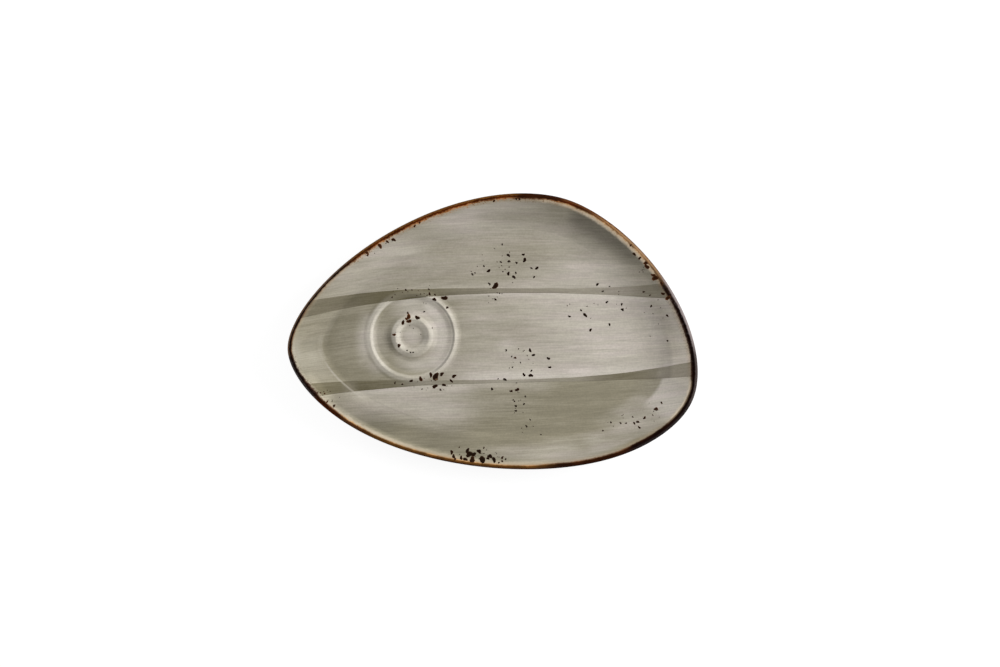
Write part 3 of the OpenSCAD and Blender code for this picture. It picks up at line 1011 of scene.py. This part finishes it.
# The larger flecks: place in millimetres, radius, and how rusty where that isn't the usual
usual_rust = 0.1
FLECKS = (
    (23.5, 52.5, 1.6), (22.5, 56.5, 1.1), (11.5, 56, 0.95), (12, 51.5, 1), (6, 51, 0.8),
    (17.5, 50.5, 0.9), (7, 64, 0.6), (11.5, 42.5, 1.2), (15.5, 40, 1.3), (17, 43, 0.9), (7.5, 44, 0.55),
    (-3, 44.5, 1.2), (-6.5, 48, 0.7), (-15, 42, 0.8), (-13, 43, 0.6), (-2.5, 35, 1.1), (2, 33.5, 2, 0.2),
    (5, 28, 0.6), (2, 23.5, 0.95), (28.5, 46.5, 0.8), (32.5, 46.5, 1.1), (30.5, 40, 0.9),
    (-62, 10.5, 1.9, 0.8), (-61.5, 7.5, 1.8, 0.6), (-63.5, 9, 1.2, 0.9), (-66, 6.5, 1.3, 0.3),
    (-55.5, 10, 1.7, 0.2), (-50.5, 14.5, 0.7), (-62.5, 13.5, 0.8, 0.4), (-72.5, -2.5, 1.2, 0.9),
    (-69, -10.5, 1.5, 0.3), (-63, -14, 0.5), (-60.5, -15.5, 0.7), (-58.5, -15.5, 0.8), (-44.5, 2.5, 0.5),
    (-64, 30.5, 0.9, 0.2), (-59.5, 30.5, 0.5, 0.2), (-47, 31, 0.8, 0.2), (-46.5, 27.5, 1, 0.2),
    (-42.5, 27, 0.8, 0.2), (-43, 23.5, 1.3, 0.2), (-35.5, 24.5, 1.9, 0.2), (-33.5, 17.5, 0.8, 0.2),
    (-74, 25, 0.7, 0.2), (-45.5, -32, 1.6, 0.3), (-42, -33.5, 2.3, 0.2), (-37.5, -31.5, 1.9, 0.2),
    (-28.5, -33, 1.4, 0.2), (-30.5, -36.5, 1.3, 0.2), (-53, -35, 1.8, 0.5), (-60, -36.5, 1.1, 0.2),
    (-72, -38, 0.7, 0.2), (-66.5, -39, 0.6, 0.2), (-42.5, -40.5, 1.7, 0.2), (-36, -39.5, 1.2, 0.2),
    (-38.5, -43, 0.8, 0.2), (-52, -42.5, 0.5, 0.2), (27.5, -14, 1.2), (30, -17.5, 1.4), (41, -20, 1.3),
    (42, -26.5, 0.9), (16.5, -19.5, 1.1, 0.5), (14, -18.5, 0.7), (10, -14, 0.7), (19, -13, 0.6),
    (20.5, -23, 0.5), (14.5, -26.5, 0.8), (28.5, -29, 0.8), (23, -32, 1), (28, -32.5, 1.3), (4, -35, 0.7),
    (9, -35.5, 1.3), (-0.5, -42.5, 1.1), (13.5, -44, 1.3, 0.2), (18, -43, 1.6, 0.2), (24, -48, 0.6),
    (15, -50.5, 0.6), (16, -51.5, 0.6), (17, -55, 0.8), (23, -53.5, 0.8), (17, -58.5, 0.9),
    (27.5, -65, 0.7), (25, -70, 0.8), (35.5, -76, 0.6), (17.5, -38, 0.6), (77, 34.5, 1.1), (86, 33, 0.6),
    (81, 29.5, 0.6), (84, 21.5, 1.1), (95, 20, 1), (95.5, 16, 1.2), (68, 12, 1.3), (65, 15.5, 0.7),
    (56.5, 11, 1), (69.5, 18.5, 0.5), (86, 5, 0.8), (72, 1, 1), (111, 29, 0.9, 0.3),
    (115.5, 26.5, 0.8, 0.3), (116.5, 18.5, 0.9, 0.2), (128, 11.5, 1, 0.3), (124.5, 27.5, 1, 0.5),
    (128.5, -7, 0.7, 0.2), (112, 50, 1.8, 0.9), (112.8, 47.2, 2.1, 0.8), (119, 39, 1.9, 0.9),
    (117.5, 41, 1.4, 0.9), (123.5, 35, 1.5, 0.8), (128.2, 24.5, 1.8, 1), (103.5, 56.5, 1, 0.4),
    (107.5, 53.5, 1, 0.4), (101, 63, 1, 0.9), (124, -52.5, 0.8, 0.3), (120, -57, 1.2, 0.5),
    (117.5, -61.5, 0.6, 0.4), (111.5, -63.5, 1.1, 0.4), (106.5, -66.5, 1.4, 0.3), (104, -67.5, 1.1, 0.3),
    (107.5, -70.5, 0.9, 0.3), (103, -63, 0.6, 0.3), (87, -67, 0.7, 0.2), (94, -67.5, 0.7, 0.2),
    (98, -67.5, 0.6, 0.2), (81, -73, 0.7, 0.2), (-24.5, -85, 0.7, 0.2), (-30, -88.5, 1.3, 0.2),
    (-28.5, -91.5, 1.3, 0.2), (-27.5, -93.5, 0.9, 0.5), (-23, -92.5, 1.1, 0.3), (-20, -93.5, 1.6, 0.2),
    (-18.5, -87.5, 1.4), (-17, -90, 1.8), (-14, -90, 1.7), (-15, -94, 2.3, 0.3), (-10, -88, 1.6),
    (-7.5, -94.6, 3.1), (-3.5, -93, 1.1), (-2, -91.5, 1.5), (1, -94, 1.7), (7, -92.5, 1, 0.3),
    (7, -95, 0.9, 0.3), (4.5, -96, 0.8, 0.4), (9.5, -93.5, 0.6, 0.2), (-6.5, -85.5, 0.7, 0.2),
    (-92, 57.5, 1.5, 1), (-91.5, 55.5, 0.8, 0.4), (-82.5, 62.5, 1.6, 0.8), (-77, 65.5, 1.1, 0.5),
    (-72.5, 67, 1.5, 0.4), (-57, 77, 0.8, 0.6), (-53.5, 79.5, 0.8, 0.7), (-116, -54.5, 1.1, 0.3),
    (-121, -51.5, 0.8, 0.6), (-123, -45.5, 0.6, 0.5), (-126, -45, 0.7, 0.5), (1, 95.3, 1.1, 0.4),
    (17.2, 96.8, 0.8, 0.3), (19.6, 96.7, 0.9, 0.3),
)
# Fine specks between them: middle and reach in millimetres, and how many
speck_radius = 0.34
speck_rust = 0.2
FINE_SPECKS = (
    (5, 48, 22, 14, 14), (0, 26, 8, 9, 8), (-46, 27, 14, 7, 7), (-62, 30, 16, 4, 7), (-60, 0, 14, 14, 6),
    (-44, -36, 20, 9, 10), (20, -20, 16, 9, 8), (18, -50, 10, 14, 9), (25, -70, 8, 7, 4),
    (76, 20, 26, 16, 10), (120, 18, 10, 24, 9), (113, 48, 7, 9, 8), (98, -66, 16, 5, 8),
    (118, -58, 8, 8, 6), (-10, -90, 22, 5, 14), (-80, 65, 16, 10, 9), (-120, -50, 8, 8, 8),
)

# Outlines of the three blisters: how far they swell in two lobes and in three, and how the three are turned
BLISTERS = ((0.24, 0.15, 1.0), (0.14, 0.19, 2.1), (0.30, 0.10, 0.4))
# Points to a ring of a blister, its first and last on one another, and the ring that is its edge
BLISTER_SPOKES = 12
BLISTER_EDGE = 3


def make_fleck_tree():
    """Scatters low blisters in clusters and lays them on the glazes under them."""
    tree, given, result = new_tree("Fleck clusters", {
        "Clusters": "Geometry", "Face": "Object", "Upper band": "Object", "Lower band": "Object",
        "Rim": "Object", "Rise": "Float", "Top": "Float", "Seed": "Int", "Material": "Material"})
    layers = [surface_of(given[layer]) for layer in ("Face", "Upper band", "Lower band", "Rim")]
    surface = joined(layers)
    x, y, lift = separate(from_node(tree, "GeometryNodeInputPosition"))

    def chance(low, high, step):
        """A random number for each point; each step draws anew."""
        node = add_node(tree, "FunctionNodeRandomValue", Seed=given["Seed"] + step)
        in_use = {socket.name: socket for socket in (*node.inputs, *node.outputs) if socket.enabled}
        feed(in_use["Min"], low)
        feed(in_use["Max"], high)
        return Value(in_use["Value"])

    copies = from_node(tree, "GeometryNodeDuplicateElements", Geometry=given["Clusters"],
                       Amount=named(tree, "INT", "count"))
    turn = chance(0, math.tau, 1)
    out = calc("POWER", chance(0, 1, 2), 0.6)
    offset = combine(cosine(turn) * out, sine(turn) * out)
    spread = moved(copies, Offset=offset * named(tree, "FLOAT_VECTOR", "reach"))
    kept = without(spread, dropped(layers[0], x, y)[1])

    blisters = []
    for two_lobes, three_lobes, turned_by in BLISTERS:
        disc = from_node(tree, "GeometryNodeMeshGrid", Vertices_X=BLISTER_EDGE + 2, Vertices_Y=BLISTER_SPOKES)
        ring, step = grid_place(tree, BLISTER_SPOKES)
        spoke = step * (math.tau / (BLISTER_SPOKES - 1))
        edge = calc("MINIMUM", ring / BLISTER_EDGE, 1)
        lobes = sine(spoke * 2) * two_lobes + 1 + sine(spoke * 3 + turned_by) * three_lobes
        # The last ring closes the blister underneath
        reach = edge * lobes * calc("LESS_THAN", ring, BLISTER_EDGE + 0.5)
        # Its edge sinks a little under the glaze
        dome = (0.94 - edge * edge) * given["Rise"]
        place = combine(cosine(spoke) * reach, sine(spoke) * reach, dome)
        blister = merged(store(moved(disc, Position=place), "FLOAT", "edge", edge))
        blisters.append(from_node(tree, "GeometryNodeGeometryToInstance", Geometry=blister))

    size = named(tree, "FLOAT", "radius") * chance(0.85, 1.15, 3)
    scale = combine(size * chance(0.95, 1.35, 4), size * chance(0.75, 1.05, 5), 1.0)
    about = from_node(tree, "FunctionNodeAxisAngleToRotation", Angle=chance(0, math.tau, 6))
    placed = from_node(
        tree, "GeometryNodeInstanceOnPoints", Points=kept, Instance=joined(blisters), Pick_Instance=True,
        Instance_Index=calc("FLOOR", chance(0, len(BLISTERS) - 0.01, 7)), Rotation=about, Scale=scale)
    flat = from_node(tree, "GeometryNodeRealizeInstances", Geometry=placed)
    landed, hit, _ = dropped(surface, x, y)
    level = calc("MINIMUM", separate(landed)[2] + lift, given["Top"])
    # A point past the edge of the lip goes to the nearest place on it instead
    nearest = add_node(tree, "GeometryNodeProximity")
    feed(nearest.inputs[0], surface)
    place = mix(hit, Value(nearest.outputs["Position"]), combine(x, y, level), "VECTOR")
    finish_tree(moved(flat, Position=place), given["Material"], result)
    return tree


def make_fleck_iron():
    material, tree, shader = new_material("iron_fleck")
    grain = noise(object_place(tree), 900, 3)
    depth = (grain - 0.5) * 0.5 + kept_value(tree, "edge")
    dark = ramp(depth, (0.75, (0.006, 0.003, 0.0015)), (0.95, (0.015, 0.008, 0.004)),
                (1.2, (0.08, 0.055, 0.035)))
    rusty = ramp(depth, (0.45, (0.045, 0.016, 0.006)), (0.85, (0.13, 0.046, 0.016)),
                 (1.1, (0.36, 0.18, 0.08)))
    dress(shader, grain, strength=0.3, depth=0.1, Base_Color=mix(kept_value(tree, "rust"), dark, rusty),
          Roughness=span(grain, 0.3, 0.7, 0.45, 0.65), Specular_IOR_Level=0.03)
    return material


clusters = [(x, y, 0, 0, 1, radius, *(rust or [usual_rust])) for x, y, radius, *rust in FLECKS]
clusters += [(*speck, speck_radius, speck_rust) for speck in FINE_SPECKS]
cluster_mesh = points_mesh("fleck_clusters", [(x * MM, y * MM, 0) for x, y, *_ in clusters])
for name, kind in (("reach", "FLOAT_VECTOR"), ("count", "INT"), ("radius", "FLOAT"), ("rust", "FLOAT")):
    cluster_mesh.attributes.new(name, kind, "POINT")
for i, (_, _, reach_x, reach_y, count, radius, rust) in enumerate(clusters):
    cluster_mesh.attributes["reach"].data[i].vector = (reach_x * MM, reach_y * MM, 0)
    cluster_mesh.attributes["count"].data[i].value = count
    cluster_mesh.attributes["radius"].data[i].value = radius * MM
    cluster_mesh.attributes["rust"].data[i].value = rust
iron_flecks = grown("iron_flecks_fired", make_fleck_tree(), cluster_mesh, {
    "Face": face_glaze, "Upper band": upper_band, "Lower band": lower_band, "Rim": rim_glaze,
    "Rise": 0.22 * MM, "Top": height, "Seed": 5, "Material": make_fleck_iron()})
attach(iron_flecks, "root")
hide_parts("iron_flecks")

# Floor, light and camera
# A plain white table under two soft lamps and a pale sky, and a camera straight above the plate. The table
# is white to the camera and keeps the plate's shadow.

WHITE = (1.0, 1.0, 1.0, 1.0)
TABLE_GREY = (0.22, 0.22, 0.22, 1.0)
table_reach = 4
table_glow = 0.89
sky_strength = 0.295


def make_table_white():
    material, tree, shader = new_material("table_white")
    to_camera, glossy = from_node(tree, "ShaderNodeLightPath", output=("Is Camera Ray", "Is Glossy Ray"))
    set_inputs(shader, Base_Color=TABLE_GREY, Roughness=1.0, Specular_IOR_Level=0.0, Emission_Color=WHITE,
               Emission_Strength=calc("MAXIMUM", to_camera, glossy) * table_glow)
    return material


table_corners = [(x * table_reach, y * table_reach, 0) for x, y in ((-1, -1), (1, -1), (1, 1), (-1, 1))]
table_mesh = bpy.data.meshes.new("table")
table_mesh.from_pydata(table_corners, [], [(0, 1, 2, 3)])
table_mesh.materials.append(make_table_white())
table = new_object("table", table_mesh)


def soft_lamp(name, direction, elevation, distance, wide, tall, power):
    """A soft lamp that faces the plate, from a direction and elevation in degrees."""
    light = bpy.data.lights.new(name, "AREA")
    light.shape = "RECTANGLE"
    light.size = wide
    light.size_y = tall
    light.energy = power
    lamp = new_object(name, light)
    around, up = math.radians(direction), math.radians(elevation)
    place = Vector((math.cos(around) * math.cos(up), math.sin(around) * math.cos(up), math.sin(up)))
    lamp.location = place * distance
    lamp.rotation_euler = place.to_track_quat("Z", "Y").to_euler()


soft_lamp("lamp_right", direction=14, elevation=25, distance=1.3, wide=1.1, tall=0.8, power=22.5)
soft_lamp("lamp_left", direction=150, elevation=27, distance=1.3, wide=0.7, tall=0.8, power=6.6)

world = bpy.data.worlds.new("studio")
bpy.context.scene.world = world
world.use_nodes = True
set_inputs(world.node_tree.nodes["Background"], Color=WHITE, Strength=sky_strength)

# The photograph spans 731 mm at the lip, with the plate a little left of its middle
photo_span = 731.3 * MM
photo_middle = Vector((5.35, -1.6)) * MM
camera_distance = 2.0
camera_data = bpy.data.cameras.new("camera")
camera_data.lens = camera_data.sensor_width * camera_distance / photo_span
camera = new_object("camera", camera_data)
camera.location = (*photo_middle, camera_distance + height - lip_radius)
bpy.context.scene.camera = camera
bpy.context.scene.view_settings.view_transform = "Standard"
